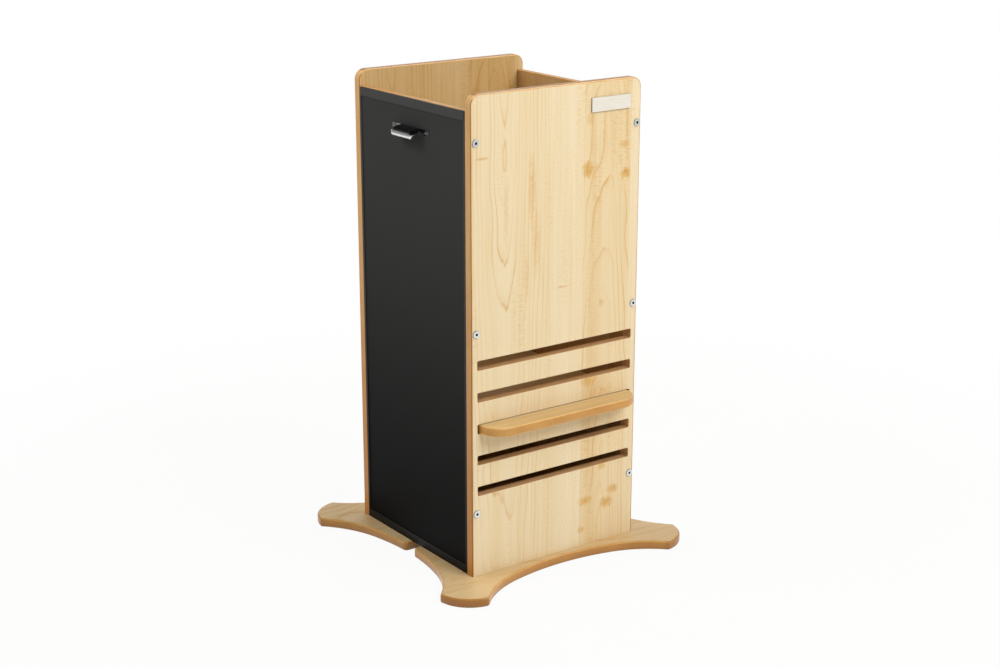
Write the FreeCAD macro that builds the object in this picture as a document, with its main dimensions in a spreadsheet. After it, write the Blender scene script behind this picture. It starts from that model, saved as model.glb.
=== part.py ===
import FreeCAD, Part
import math
import os
import re

import Sketcher
from FreeCAD import Rotation, Vector

doc = FreeCAD.newDocument("learning_tower")

# Driving dimensions in millimetres; heights inside the tower are measured from the top of the feet
driving_sizes = {
    "outer_width": 384,
    "side_height": 900,
    "side_depth": 382,
    "side_thickness": 18,
    "corner_radius": 20,
    "edging_thickness": 2.5,
    "edging_round": 2,
    "slot_count": 5,
    "slot_pitch": 60.5,
    "slot_height": 18.5,
    "slot_end_margin": 12.5,
    "slot_corner_radius": 3,
    "lowest_slot_floor": 158.5,
    "platform_slot": 3,
    "board_top_drop": 30,
    "board_height": "=side_height - board_top_drop",
    "board_thickness": 12,
    "back_setback": 3,
    "guide_setback": 0.3,
    "guide_lip_thickness": 1.2,
    "guide_lip_width": 5,
    "guide_web": 1,
    "guide_top_clearance": 0.5,
    "writing_board_thickness": 2.6,
    "sliding_clearance": 0.2,
    "writing_board_drop": 1,
    "ledge_height": 17,
    "header_height": 16.5,
    "header_end_gap": 2,
    "strip_round": 0.5,
    "pull_drop": 81.5,
    "pull_length": 120,
    "pull_ear_height": 10,
    "pull_wall": 1.6,
    "cup_width": 84,
    "cup_projection": 24,
    "cup_height": 18,
    "cup_belly_drop": 12,
    "cup_end_round": 14,
    "cup_lip_width": 54,
    "pull_screw_spacing": 102,
    "pull_screw_diameter": 3,
    "pull_screw_head_diameter": 5.4,
    "pull_screw_head_height": 0.8,
    "platform_overhang": 44,
    "platform_thickness": 17,
    "platform_corner_radius": 44,
    "platform_lipping": 4,
    "platform_round": 3,
    "platform_clearance": 0.8,
    "base_thickness": 18,
    "base_gap": 27,
    "base_margin": 16.4,
    "base_hollow_radius": 475,
    "hollow_reach": 115,
    "lobe_radius": 70.6,
    "lobe_offset": 18,
    "lobe_toe_set": 6,
    "lobe_corner_radius": 6,
    "base_gap_corner_radius": 10,
    "base_round": 4,
    "bolt_row_count": 3,
    "bolt_row_first": 124,
    "bolt_row_top_drop": 85,
    "bolt_row_pitch": "=(side_height - bolt_row_first - bolt_row_top_drop) / (bolt_row_count - 1)",
    "bolt_diameter": 6,
    "bolt_reach": 38,
    "bolt_head_diameter": 14.5,
    "bolt_head_height": 2,
    "bolt_head_round": 0.8,
    "bolt_socket_width": 5,
    "bolt_socket_depth": 3.5,
    "nut_diameter": 10,
    "nut_inset": 30,
    "nut_recess": 0.2,
    "fastener_clearance": 0.1,
    "panel_dowel_diameter": 6,
    "panel_dowel_length": 30,
    "panel_dowel_depth": 10,
    "panel_dowel_low": 60,
    "panel_dowel_top_drop": 150,
    "panel_dowel_high": "=side_height - panel_dowel_top_drop",
    "base_dowel_diameter": 8,
    "base_dowel_length": 30,
    "base_dowel_depth": 12,
    "base_dowel_spread": 70,
    "dowel_chamfer": 1,
    "base_screw_diameter": 4.5,
    "base_screw_length": 50,
    "base_screw_head_diameter": 9,
    "base_screw_tip": 5,
    "base_screw_spread": 140,
    "board_screw_place": 110,
    "plate_length": 90,
    "plate_height": 26,
    "plate_thickness": 3,
    "plate_round": 0.6,
    "plate_top_drop": 30,
    "plate_back_margin": 26.5,
    "plate_pin_diameter": 3,
    "plate_pin_length": 8,
    "plate_pin_sunk": 1.5,
    "plate_pin_spacing": 66,
}

sheet = doc.addObject("Spreadsheet::Sheet", "Sizes")
for row, (size_name, size) in enumerate(driving_sizes.items(), start=1):
    sheet.set("A%d" % row, size_name)
    sheet.set("B%d" % row, str(size))
    sheet.setAlias("B%d" % row, size_name)
doc.recompute()


# A formula in plain size names becomes an expression that reads the sheet
def formula(text):
    return re.sub(r"[a-z_]{3,}", lambda word: "Sizes." + word.group()
                  if word.group() in driving_sizes else word.group(), text)


def value(text):
    return float(sheet.evalExpression(formula(text)))


# Places and sizes that several pieces share
inner_width = "(outer_width - 2 * side_thickness)"
front_edge = "(-side_depth / 2)"
back_edge = "(side_depth / 2)"
board_front_gap = "(guide_setback + guide_lip_thickness + sliding_clearance)"
front_setback = f"({board_front_gap} + writing_board_thickness + sliding_clearance)"
front_board_middle = f"({front_setback} + board_thickness / 2)"
back_board_middle = "(side_depth - back_setback - board_thickness / 2)"
well_front = f"({front_setback} + board_thickness)"
well_back = "(side_depth - back_setback - board_thickness)"
writing_board_width = f"({inner_width} - 2 * (guide_web + sliding_clearance))"
writing_board_top = "(board_height - writing_board_drop)"
header_bottom = f"({writing_board_top} - header_height)"
pull_top = "(side_height - pull_drop)"
platform_length = "(outer_width + 2 * platform_overhang)"
platform_depth = f"({well_back} - {well_front} - 2 * platform_clearance)"
platform_middle = f"(({well_back} + {well_front}) / 2 - side_depth / 2)"
platform_floor = "(base_thickness + lowest_slot_floor + (platform_slot - 1) * slot_pitch)"
bolt_hole = "(bolt_diameter + 2 * fastener_clearance)"
panel_dowel_hole = "(panel_dowel_diameter + 2 * fastener_clearance)"
base_dowel_hole = "(base_dowel_diameter + 2 * fastener_clearance)"
base_screw_hole = "(base_screw_diameter + 2 * fastener_clearance)"
plate_pin_hole = "(plate_pin_diameter + 2 * fastener_clearance)"
pull_screw_hole = "(pull_screw_diameter + 2 * fastener_clearance)"
side_middle = "(outer_width / 2 - side_thickness / 2)"
bolt_rows = [f"(bolt_row_first + {row} * bolt_row_pitch)" for row in range(int(value("bolt_row_count")))]
panel_dowel_rows = ["panel_dowel_low", "panel_dowel_high"]
side_screw_places = ["-base_screw_spread", "0", "base_screw_spread"]
side_dowel_places = ["-base_dowel_spread", "base_dowel_spread"]
tiny = 1e-6

nodes = []


def keep(thing, label):
    thing.Label = label
    nodes.append(thing)
    return thing


def place(thing, across, along, up):
    for axis, text in zip("xyz", (across, along, up)):
        thing.setExpression("Placement.Base." + axis, formula(text))


def new_body(label, across="0", along="0", up="0"):
    body = doc.addObject("PartDesign::Body", label)
    place(body, across, along, up)
    return body


# Sketches: every corner and centre is tied to the sheet
def new_sketch(body, role, name, lift="0"):
    sketch = body.newObject("Sketcher::SketchObject", name)
    plane = next(item for item in body.Origin.OriginFeatures if item.Role == role)
    sketch.AttachmentSupport = [(plane, "")]
    sketch.MapMode = "FlatFace"
    if lift != "0":
        sketch.setExpression("AttachmentOffset.Base.z", formula(lift))
    return sketch


def tie(sketch, kind, where, text):
    index = sketch.addConstraint(Sketcher.Constraint(kind, *where, value(text)))
    sketch.setExpression("Constraints[%d]" % index, formula(text))


def tie_point(sketch, line, end, across, up):
    for kind, axis, text in (("DistanceX", -2, across), ("DistanceY", -1, up)):
        if text == "0":
            sketch.addConstraint(Sketcher.Constraint("PointOnObject", line, end, axis))
        else:
            tie(sketch, kind, (-1, 1, line, end), text)


def polygon(sketch, corners):
    first = sketch.GeometryCount
    count = len(corners)
    spots = [Vector(value(across), value(up), 0) for across, up in corners]
    for index in range(count):
        sketch.addGeometry(Part.LineSegment(spots[index], spots[(index + 1) % count]))
    for index in range(count):
        following = first + (index + 1) % count
        sketch.addConstraint(Sketcher.Constraint("Coincident", first + index, 2, following, 1))
    for index, (across, up) in enumerate(corners):
        tie_point(sketch, first + index, 1, across, up)


def rectangle(sketch, left, bottom, right, top):
    polygon(sketch, [(left, bottom), (right, bottom), (right, top), (left, top)])


def circle(sketch, across, up, diameter):
    middle = Vector(value(across), value(up), 0)
    index = sketch.addGeometry(Part.Circle(middle, Vector(0, 0, 1), value(diameter) / 2))
    tie(sketch, "Diameter", (index,), diameter)
    tie_point(sketch, index, 3, across, up)


# Features
def pad(body, sketch, length, flip=False):
    feature = body.newObject("PartDesign::Pad", sketch.Name + "_pad")
    feature.Profile = sketch
    feature.setExpression("Length", formula(length))
    feature.Reversed = flip
    doc.recompute()
    return feature


def pocket(body, sketch, depth, flip=False):
    before = body.Shape.Volume
    feature = body.newObject("PartDesign::Pocket", sketch.Name + "_cut")
    feature.Profile = sketch
    feature.setExpression("Length", formula(depth))
    feature.Reversed = flip
    doc.recompute()
    if body.Shape.Volume > before - tiny:
        raise ValueError(body.Name + ": " + feature.Name + " cut nothing")
    return feature


def work_edges(body, kind, size_property, size_text, wanted):
    base = body.Tip
    names = ["Edge%d" % number for number, edge in enumerate(base.Shape.Edges, start=1) if wanted(edge)]
    feature = body.newObject(kind, "edges")
    feature.Base = (base, names)
    feature.setExpression(size_property, formula(size_text))
    doc.recompute()
    return feature


def round_edges(body, radius, wanted):
    return work_edges(body, "PartDesign::Fillet", "Radius", radius, wanted)


def chamfer_edges(body, size_text, wanted):
    return work_edges(body, "PartDesign::Chamfer", "Size", size_text, wanted)


def same(first, second):
    return abs(first - second) < 0.001


def runs_along(edge, axis):
    box = edge.BoundBox
    spans = {"x": box.XLength, "y": box.YLength, "z": box.ZLength}
    own = spans.pop(axis)
    return own > tiny and max(spans.values()) < 0.001


def middle_of(edge):
    return edge.valueAt((edge.FirstParameter + edge.LastParameter) / 2)


# Turned pieces stand on their local Z axis: each corner is a radius and a height
def turned(name, corners):
    body = new_body(name)
    sketch = new_sketch(body, "XZ_Plane", name + "_profile")
    polygon(sketch, corners)
    feature = body.newObject("PartDesign::Revolution", name + "_turn")
    feature.Profile = sketch
    feature.ReferenceAxis = (sketch, ["V_Axis"])
    feature.Angle = 360
    doc.recompute()
    return body


# Like fasteners are one node: a group of copies of the same piece
def group(label, master, spots):
    copies = []
    for across, along, up, turn in spots:
        copy = doc.addObject("App::Link", label + "_copy")
        copy.LinkedObject = master
        copy.Placement = FreeCAD.Placement(Vector(0, 0, 0), turn)
        place(copy, across, along, up)
        copies.append(copy)
    gathered = doc.addObject("Part::Compound", label)
    gathered.Links = copies
    return keep(gathered, label)


upright = Rotation(Vector(0, 0, 1), Vector(0, 0, 1))
face_right = Rotation(Vector(0, 0, 1), Vector(1, 0, 0))
face_left = Rotation(Vector(0, 0, 1), Vector(-1, 0, 0))
face_back = Rotation(Vector(0, 0, 1), Vector(0, 1, 0))
face_front = Rotation(Vector(0, 0, 1), Vector(0, -1, 0))
sides = {"right": 1, "left": -1}


# Side panels: laminated boards with the platform slots, seen from the inner face outwards
def make_side_panel(side, outward):
    label = "side_panel_" + side
    body = new_body(label, f"{outward} * {inner_width} / 2", front_edge, "base_thickness")
    out_flip = outward < 0
    in_flip = outward > 0
    top = "(side_height - edging_thickness)"
    outline = new_sketch(body, "YZ_Plane", label + "_outline")
    rectangle(outline, "edging_thickness", "0", "side_depth - edging_thickness", top)
    pad(body, outline, "side_thickness", out_flip)
    round_edges(body, "corner_radius - edging_thickness",
                lambda edge: runs_along(edge, "x") and same(middle_of(edge).z, value(top)))

    slot = new_sketch(body, "YZ_Plane", label + "_slot")
    rectangle(slot, "slot_end_margin", "lowest_slot_floor",
              "side_depth - slot_end_margin", "lowest_slot_floor + slot_height")
    slot_cut = pocket(body, slot, "side_thickness", in_flip)
    rows = body.newObject("PartDesign::LinearPattern", label + "_slots")
    rows.Originals = [slot_cut]
    rows.Direction = (slot, ["V_Axis"])
    rows.setExpression("Length", formula("slot_pitch * (slot_count - 1)"))
    rows.setExpression("Occurrences", formula("slot_count"))
    body.Tip = rows
    doc.recompute()
    slot_ends = (value("slot_end_margin"), value("side_depth - slot_end_margin"))
    round_edges(body, "slot_corner_radius", lambda edge: runs_along(edge, "x")
                and any(same(middle_of(edge).y, end) for end in slot_ends))

    bolts = new_sketch(body, "YZ_Plane", label + "_bolt_holes")
    for up in bolt_rows:
        circle(bolts, front_board_middle, up, bolt_hole)
        circle(bolts, back_board_middle, up, bolt_hole)
    pocket(body, bolts, "side_thickness", in_flip)
    dowels = new_sketch(body, "YZ_Plane", label + "_dowel_holes")
    for up in panel_dowel_rows:
        circle(dowels, front_board_middle, up, panel_dowel_hole)
        circle(dowels, back_board_middle, up, panel_dowel_hole)
    pocket(body, dowels, "panel_dowel_depth", in_flip)

    middle = f"{outward} * side_thickness / 2"
    screws = new_sketch(body, "XY_Plane", label + "_screw_holes")
    for along in side_screw_places:
        circle(screws, middle, f"side_depth / 2 + {along}", base_screw_hole)
    pocket(body, screws, "base_screw_length - base_thickness", True)
    pegs = new_sketch(body, "XY_Plane", label + "_peg_holes")
    for along in side_dowel_places:
        circle(pegs, middle, f"side_depth / 2 + {along}", base_dowel_hole)
    pocket(body, pegs, "base_dowel_length - base_dowel_depth", True)
    return keep(body, label)


# Edging: a rounded strip that goes up the front edge, over the top and down the back
def make_side_edging(side, outward):
    label = "side_edging_" + side
    body = new_body(label, f"{outward} * {inner_width} / 2", front_edge, "base_thickness")
    inner_top = "side_height - edging_thickness"
    inner_back = "side_depth - edging_thickness"
    outline = new_sketch(body, "YZ_Plane", label + "_outline")
    polygon(outline, [("0", "0"), ("edging_thickness", "0"), ("edging_thickness", inner_top),
                      (inner_back, inner_top), (inner_back, "0"), ("side_depth", "0"),
                      ("side_depth", "side_height"), ("0", "side_height")])
    pad(body, outline, "side_thickness", outward < 0)
    round_edges(body, "corner_radius", lambda edge: runs_along(edge, "x")
                and same(middle_of(edge).z, value("side_height")))
    round_edges(body, "corner_radius - edging_thickness", lambda edge: runs_along(edge, "x")
                and same(middle_of(edge).z, value(inner_top)))

    def on_outer_rim(edge):
        spot = middle_of(edge)
        if runs_along(edge, "x") or same(spot.z, 0):
            return False
        if hasattr(edge.Curve, "Radius"):
            return same(edge.Curve.Radius, value("corner_radius"))
        return same(spot.y, 0) or same(spot.y, value("side_depth")) or same(spot.z, value("side_height"))

    round_edges(body, "edging_round", on_outer_rim)
    return keep(body, label)


# Front and back boards: between the side panels, drilled for bolts, barrel nuts, dowels and screws
def make_board(label, rear_face):
    body = new_body(label, f"-{inner_width} / 2", rear_face, "base_thickness")
    middle = "-board_thickness / 2"
    outline = new_sketch(body, "XZ_Plane", label + "_outline")
    rectangle(outline, "0", "0", inner_width, "board_height - edging_thickness")
    pad(body, outline, "board_thickness")
    for side, lift in (("left", "0"), ("right", inner_width)):
        into_board = side == "left"
        bores = new_sketch(body, "YZ_Plane", f"{label}_{side}_bores", lift)
        for up in bolt_rows:
            circle(bores, middle, up, bolt_hole)
        pocket(body, bores, "bolt_reach + fastener_clearance", into_board)
        dowels = new_sketch(body, "YZ_Plane", f"{label}_{side}_dowel_holes", lift)
        for up in panel_dowel_rows:
            circle(dowels, middle, up, panel_dowel_hole)
        pocket(body, dowels, "panel_dowel_length - panel_dowel_depth", into_board)
    nuts = new_sketch(body, "XZ_Plane", label + "_nut_holes")
    for up in bolt_rows:
        for across in ("nut_inset", f"{inner_width} - nut_inset"):
            circle(nuts, across, up, "nut_diameter + 2 * fastener_clearance")
    pocket(body, nuts, "board_thickness", True)
    screws = new_sketch(body, "XY_Plane", label + "_screw_holes")
    for outward in sides.values():
        circle(screws, f"{inner_width} / 2 + {outward} * board_screw_place", middle, base_screw_hole)
    pocket(body, screws, "base_screw_length - base_thickness", True)
    return keep(body, label)


def make_top_edging(label, rear_face):
    body = new_body(label, f"-{inner_width} / 2", rear_face,
                    "base_thickness + board_height - edging_thickness")
    outline = new_sketch(body, "XZ_Plane", label + "_outline")
    rectangle(outline, "0", "0", inner_width, "edging_thickness")
    pad(body, outline, "board_thickness")
    round_edges(body, "edging_round", lambda edge: runs_along(edge, "x")
                and same(middle_of(edge).z, value("edging_thickness")))
    return keep(body, label)


# Guides: angle strips that hold the writing board's edges, one lip in front of it
def make_guide(side, outward):
    label = "board_guide_" + side
    body = new_body(label, f"{outward} * {inner_width} / 2", front_edge, "base_thickness + ledge_height")
    inward = -outward
    lip = f"{inward} * guide_lip_width"
    web = f"{inward} * guide_web"
    lip_back = "guide_setback + guide_lip_thickness"
    section = new_sketch(body, "XY_Plane", label + "_section")
    polygon(section, [("0", "guide_setback"), (lip, "guide_setback"), (lip, lip_back),
                      (web, lip_back), (web, front_setback), ("0", front_setback)])
    pad(body, section, f"{header_bottom} - ledge_height - guide_top_clearance")
    return keep(body, label)


def make_ledge():
    body = new_body("board_footer_ledge", f"-{inner_width} / 2",
                    f"{front_edge} + {front_setback}", "base_thickness")
    outline = new_sketch(body, "XZ_Plane", "ledge_outline")
    rectangle(outline, "0", "0", inner_width, "ledge_height")
    pad(body, outline, f"{front_setback} - guide_setback")
    front = value(f"guide_setback - {front_setback}")
    round_edges(body, "strip_round", lambda edge: runs_along(edge, "x") and same(middle_of(edge).y, front))
    return keep(body, "board_footer_ledge")


# Writing board: stands on the ledge and lifts straight up out of the guides
def make_writing_board():
    body = new_body("writing_board", f"-{writing_board_width} / 2",
                    f"{front_edge} + {board_front_gap} + writing_board_thickness",
                    "base_thickness + ledge_height")
    outline = new_sketch(body, "XZ_Plane", "writing_board_outline")
    rectangle(outline, "0", "0", writing_board_width, f"{writing_board_top} - ledge_height")
    pad(body, outline, "writing_board_thickness")
    screws = new_sketch(body, "XZ_Plane", "writing_board_screw_holes")
    for outward in sides.values():
        circle(screws, f"{writing_board_width} / 2 + {outward} * pull_screw_spacing / 2",
               f"{pull_top} - pull_ear_height / 2 - ledge_height", pull_screw_hole)
    pocket(body, screws, "writing_board_thickness", True)
    return keep(body, "writing_board")


def make_header():
    body = new_body("board_header_rail", f"-{inner_width} / 2 + header_end_gap",
                    f"{front_edge} + {board_front_gap}", f"base_thickness + {header_bottom}")
    outline = new_sketch(body, "XZ_Plane", "header_outline")
    rectangle(outline, "0", "0", f"{inner_width} - 2 * header_end_gap", "header_height")
    pad(body, outline, f"{board_front_gap} - guide_setback")
    front = value(f"guide_setback - {board_front_gap}")
    round_edges(body, "strip_round", lambda edge: runs_along(edge, "x") and same(middle_of(edge).y, front))
    return keep(body, "board_header_rail")


# Cup pull: a pressed shell, open below and behind, with a flat ear at each end.
# The block stands out furthest at its belly and ends in half an egg; the inner one is a wall smaller
def make_cup_block(inset):
    end_round = value("cup_end_round")
    straight = value("cup_width") / 2 - end_round
    belly = value("cup_belly_drop")
    bend = end_round - inset
    edges = [Part.makeLine(Vector(-straight, 1, 0), Vector(straight, 1, 0))]
    for outward, begin in ((1, 0), (-1, math.pi / 2)):
        ellipse = Part.Ellipse(Vector(outward * straight, 0, 0), bend, 1)
        edges.append(Part.ArcOfEllipse(ellipse, begin, begin + math.pi / 2).toShape())
    edges.append(Part.makeLine(Vector(-straight - bend, 0, 0), Vector(straight + bend, 0, 0)))
    profile = Part.Face(Part.Wire(Part.sortEdges(edges)[0]))
    stretch = FreeCAD.Matrix()
    stretch.scale(1, value("cup_projection") - inset, belly - inset)
    block = profile.revolve(Vector(0, 0, 0), Vector(1, 0, 0), 360).transformGeometry(stretch)
    block.translate(Vector(0, 0, -belly))
    return block


def make_cup_shell():
    wall = value("pull_wall")
    width = value("cup_width")
    projection = value("cup_projection")
    height = value("cup_height")
    lip_half = value("cup_lip_width") / 2
    ear = value("pull_ear_height")
    shell = make_cup_block(0).cut(make_cup_block(wall))
    front_corner = Vector(-width, -2 * projection, -2 * height)
    front_half = Part.makeBox(2 * width, 2 * projection, 4 * height, front_corner)
    shell = shell.common(front_half)

    # The lip is low across the middle and sweeps up behind the ears in an S at each end
    swing = (width / 2 - lip_half) / 2
    lift = (height - ear + wall) / 2
    bend_radius = (swing ** 2 + lift ** 2) / (2 * lift)
    half_bend = math.atan2(lift, swing)
    bend_run = bend_radius * math.sin(half_bend)
    bend_rise = bend_radius * (1 - math.cos(half_bend))
    above = height
    low_left = Vector(-lip_half, 0, -height)
    low_right = Vector(lip_half, 0, -height)
    edges = [Part.makeLine(low_left, low_right)]
    for outward, low in ((1, low_right), (-1, low_left)):
        knee = low + Vector(outward * swing, 0, lift)
        high = low + Vector(outward * 2 * swing, 0, 2 * lift)
        halfway = Vector(outward * bend_run, 0, bend_rise)
        edges.append(Part.Arc(low, low + halfway, knee).toShape())
        edges.append(Part.Arc(knee, high - halfway, high).toShape())
        corner = Vector(outward * width, 0, high.z)
        edges.append(Part.makeLine(high, corner))
        edges.append(Part.makeLine(corner, Vector(corner.x, 0, above)))
    edges.append(Part.makeLine(Vector(-width, 0, above), Vector(width, 0, above)))
    outline = Part.Wire(Part.sortEdges(edges)[0])
    window = Part.Face(outline).extrude(Vector(0, -2 * projection, 0))
    return shell.common(window)


def make_cup_pull():
    wall = value("pull_wall")
    ear = value("pull_ear_height")
    reach = value("pull_length") / 2
    start = value("cup_width") / 2 - value("cup_end_round") + 2 * wall
    hollow = make_cup_block(wall)
    pull = make_cup_shell()
    for outward in sides.values():
        left = min(outward * start, outward * reach)
        plate = Part.makeBox(reach - start, wall, ear, Vector(left, -wall, -ear))
        tips = [edge for edge in plate.Edges if runs_along(edge, "y") and same(abs(middle_of(edge).x), reach)]
        plate = plate.makeFillet(2 * wall, tips).cut(hollow)
        spot = Vector(outward * value("pull_screw_spacing") / 2, -2 * wall, -ear / 2)
        hole = Part.makeCylinder(value(pull_screw_hole) / 2, 4 * wall, spot, Vector(0, 1, 0))
        pull = pull.fuse(plate).cut(hole)
    cup = doc.addObject("Part::Feature", "cup_pull")
    cup.Shape = pull.removeSplitter()
    place(cup, "0", f"{front_edge} + {board_front_gap}", f"base_thickness + {pull_top}")
    return keep(cup, "cup_pull")


# Platform: a laminated shelf with a solid rounded lipping all round
def make_platform():
    core = new_body("platform", "0", platform_middle, platform_floor)
    half_length = f"({platform_length} / 2 - platform_lipping)"
    half_depth = f"({platform_depth} / 2 - platform_lipping)"
    outline = new_sketch(core, "XY_Plane", "platform_outline")
    rectangle(outline, f"-{half_length}", f"-{half_depth}", half_length, half_depth)
    pad(core, outline, "platform_thickness")
    round_edges(core, "platform_corner_radius - platform_lipping", lambda edge: runs_along(edge, "z"))
    keep(core, "platform")

    block = new_body("platform_block", "0", platform_middle, platform_floor)
    outer_length = f"({platform_length} / 2)"
    outer_depth = f"({platform_depth} / 2)"
    border = new_sketch(block, "XY_Plane", "platform_border")
    rectangle(border, f"-{outer_length}", f"-{outer_depth}", outer_length, outer_depth)
    pad(block, border, "platform_thickness")
    round_edges(block, "platform_corner_radius", lambda edge: runs_along(edge, "z"))
    round_edges(block, "platform_round", lambda edge: not runs_along(edge, "z"))
    ring = doc.addObject("Part::Cut", "platform_edging")
    ring.Base = block
    ring.Tool = core
    doc.recompute()
    keep(ring, "platform_edging")


# Feet: two boards with hollow sides and a lobe at each corner, apart in the middle.
# A hollow is shallow along its middle and turns outward at both ends, up to the toes of the lobes
def turn_middle(hollow_middle, joint, toe):
    inward = (hollow_middle - joint).normalize()
    span = toe - joint
    return joint + inward * (span.dot(span) / (2 * span.dot(inward)))


def back_of(spot):
    return Vector(spot.x, -spot.y, 0)


def make_base_foot():
    body = new_body("base_foot_right")
    hollow_x = "(outer_width / 2 + base_margin + base_hollow_radius)"
    hollow_y = "(side_depth / 2 + base_margin + base_hollow_radius)"
    lobe_x = "(outer_width / 2 + lobe_offset)"
    lobe_y = "(side_depth / 2 + lobe_offset)"
    gap = "(base_gap / 2)"
    reach = value("hollow_reach")
    joint_drop = math.sqrt(value("base_hollow_radius") ** 2 - reach ** 2)
    gap_drop = math.sqrt(value("base_hollow_radius") ** 2 - value(gap) ** 2)
    toe_set = value("lobe_toe_set")
    toe_out = math.sqrt(value("lobe_radius") ** 2 - toe_set ** 2)
    front = Vector(0, -value(hollow_y), 0)
    right = Vector(value(hollow_x), 0, 0)
    lobe = Vector(value(lobe_x), -value(lobe_y), 0)
    gap_front = front + Vector(value(gap), gap_drop, 0)
    front_joint = front + Vector(reach, joint_drop, 0)
    side_joint = right + Vector(-joint_drop, -reach, 0)
    front_toe = lobe + Vector(toe_set, -toe_out, 0)
    side_toe = lobe + Vector(toe_out, -toe_set, 0)
    front_turn = turn_middle(front, front_joint, front_toe)
    side_turn = turn_middle(right, side_joint, side_toe)

    sketch = new_sketch(body, "XY_Plane", "foot_outline")
    arcs = [(front, front_joint, gap_front),
            (front_turn, front_toe, front_joint),
            (lobe, front_toe, side_toe),
            (side_turn, side_joint, side_toe),
            (right, back_of(side_joint), side_joint),
            (back_of(side_turn), back_of(side_toe), back_of(side_joint)),
            (back_of(lobe), back_of(side_toe), back_of(front_toe)),
            (back_of(front_turn), back_of(front_joint), back_of(front_toe)),
            (back_of(front), back_of(gap_front), back_of(front_joint))]
    for middle, begin, end in arcs:
        ring = Part.Circle(middle, Vector(0, 0, 1), (begin - middle).Length)
        sketch.addGeometry(Part.ArcOfCircle(ring, ring.parameter(begin), ring.parameter(end)))
    split = sketch.addGeometry(Part.LineSegment(back_of(gap_front), gap_front))
    middles = [(0, "base_hollow_radius", "0", f"-{hollow_y}"),
               (2, "lobe_radius", lobe_x, f"-{lobe_y}"),
               (4, "base_hollow_radius", hollow_x, "0"),
               (6, "lobe_radius", lobe_x, lobe_y),
               (8, "base_hollow_radius", "0", hollow_y)]
    for line, radius_text, across, up in middles:
        tie(sketch, "Radius", (line,), radius_text)
        tie_point(sketch, line, 3, across, up)
    for join in ((1, 1, 2, 1), (2, 2, 3, 2), (5, 1, 6, 1), (6, 2, 7, 2), (8, 1, split, 1), (split, 2, 0, 2)):
        sketch.addConstraint(Sketcher.Constraint("Coincident", *join))
    for join in ((0, 1, 1, 2), (3, 1, 4, 2), (4, 1, 5, 2), (7, 1, 8, 2)):
        sketch.addConstraint(Sketcher.Constraint("Tangent", *join))
    for line, end in ((0, 1), (8, 2)):
        tie(sketch, "DistanceX", (-1, 1, line, end), "hollow_reach")
    for end, outward in ((2, "-"), (1, "")):
        tie(sketch, "DistanceY", (-1, 1, 4, end), f"{outward}hollow_reach")
    for line, end, kind, text in ((2, 1, "DistanceX", f"{lobe_x} + lobe_toe_set"),
                                  (2, 2, "DistanceY", f"-({lobe_y} + lobe_toe_set)"),
                                  (6, 1, "DistanceY", f"{lobe_y} + lobe_toe_set"),
                                  (6, 2, "DistanceX", f"{lobe_x} + lobe_toe_set")):
        tie(sketch, kind, (-1, 1, line, end), text)
    sketch.addConstraint(Sketcher.Constraint("Vertical", split))
    tie(sketch, "DistanceX", (-1, 1, split, 1), gap)
    pad(body, sketch, "base_thickness")

    round_edges(body, "base_gap_corner_radius", lambda edge: runs_along(edge, "z")
                and same(middle_of(edge).x, value(gap)))
    round_edges(body, "lobe_corner_radius", lambda edge: runs_along(edge, "z")
                and any(same((middle_of(edge) - spot).x, 0) and same((middle_of(edge) - spot).y, 0)
                        for spot in (front_toe, side_toe, back_of(side_toe), back_of(front_toe))))
    round_edges(body, "base_round", lambda edge: not runs_along(edge, "z"))

    holes = new_sketch(body, "XY_Plane", "foot_screw_holes")
    for along in side_screw_places:
        circle(holes, side_middle, along, base_screw_hole)
    for along in (front_board_middle, back_board_middle):
        circle(holes, "board_screw_place", f"{front_edge} + {along}", base_screw_hole)
    pocket(body, holes, "base_thickness", True)
    head_flare = "(base_screw_head_diameter - base_screw_diameter) / 2"
    chamfer_edges(body, head_flare, lambda edge: same(middle_of(edge).z, 0) and hasattr(edge.Curve, "Radius")
                  and same(edge.Curve.Radius, value(base_screw_hole) / 2))
    pegs = new_sketch(body, "XY_Plane", "foot_peg_holes", "base_thickness")
    for along in side_dowel_places:
        circle(pegs, side_middle, along, base_dowel_hole)
    pocket(body, pegs, "base_dowel_depth")
    keep(body, "base_foot_right")

    mirrored = doc.addObject("Part::Mirroring", "base_foot_left")
    mirrored.Source = body
    mirrored.Normal = Vector(1, 0, 0)
    keep(mirrored, "base_foot_left")


# Connector bolts and their barrel nuts join the side panels to the front and back boards
def make_bolts():
    radius = "bolt_diameter / 2"
    head = "bolt_head_diameter / 2"
    tip = "-(side_thickness + bolt_reach)"
    bolt = turned("connector_bolt", [("0", tip), (radius, tip), (radius, "0"), (head, "0"),
                                     (head, "bolt_head_height"), ("0", "bolt_head_height")])
    round_edges(bolt, "bolt_head_round", lambda edge: same(middle_of(edge).z, value("bolt_head_height"))
                and hasattr(edge.Curve, "Radius"))
    socket = new_sketch(bolt, "XY_Plane", "bolt_socket", "bolt_head_height")
    corner = "bolt_socket_width / sqrt(3)"
    half = "bolt_socket_width / 2"
    polygon(socket, [(corner, "0"), (f"{corner} / 2", half), (f"-{corner} / 2", half),
                     (f"-{corner}", "0"), (f"-{corner} / 2", f"-{half}"), (f"{corner} / 2", f"-{half}")])
    pocket(bolt, socket, "bolt_socket_depth")
    for side, outward in sides.items():
        turn = face_right if outward > 0 else face_left
        spots = [(f"{outward} * outer_width / 2", f"{front_edge} + {along}", f"base_thickness + {up}", turn)
                 for along in (front_board_middle, back_board_middle) for up in bolt_rows]
        group("connector_bolts_" + side, bolt, spots)


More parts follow.
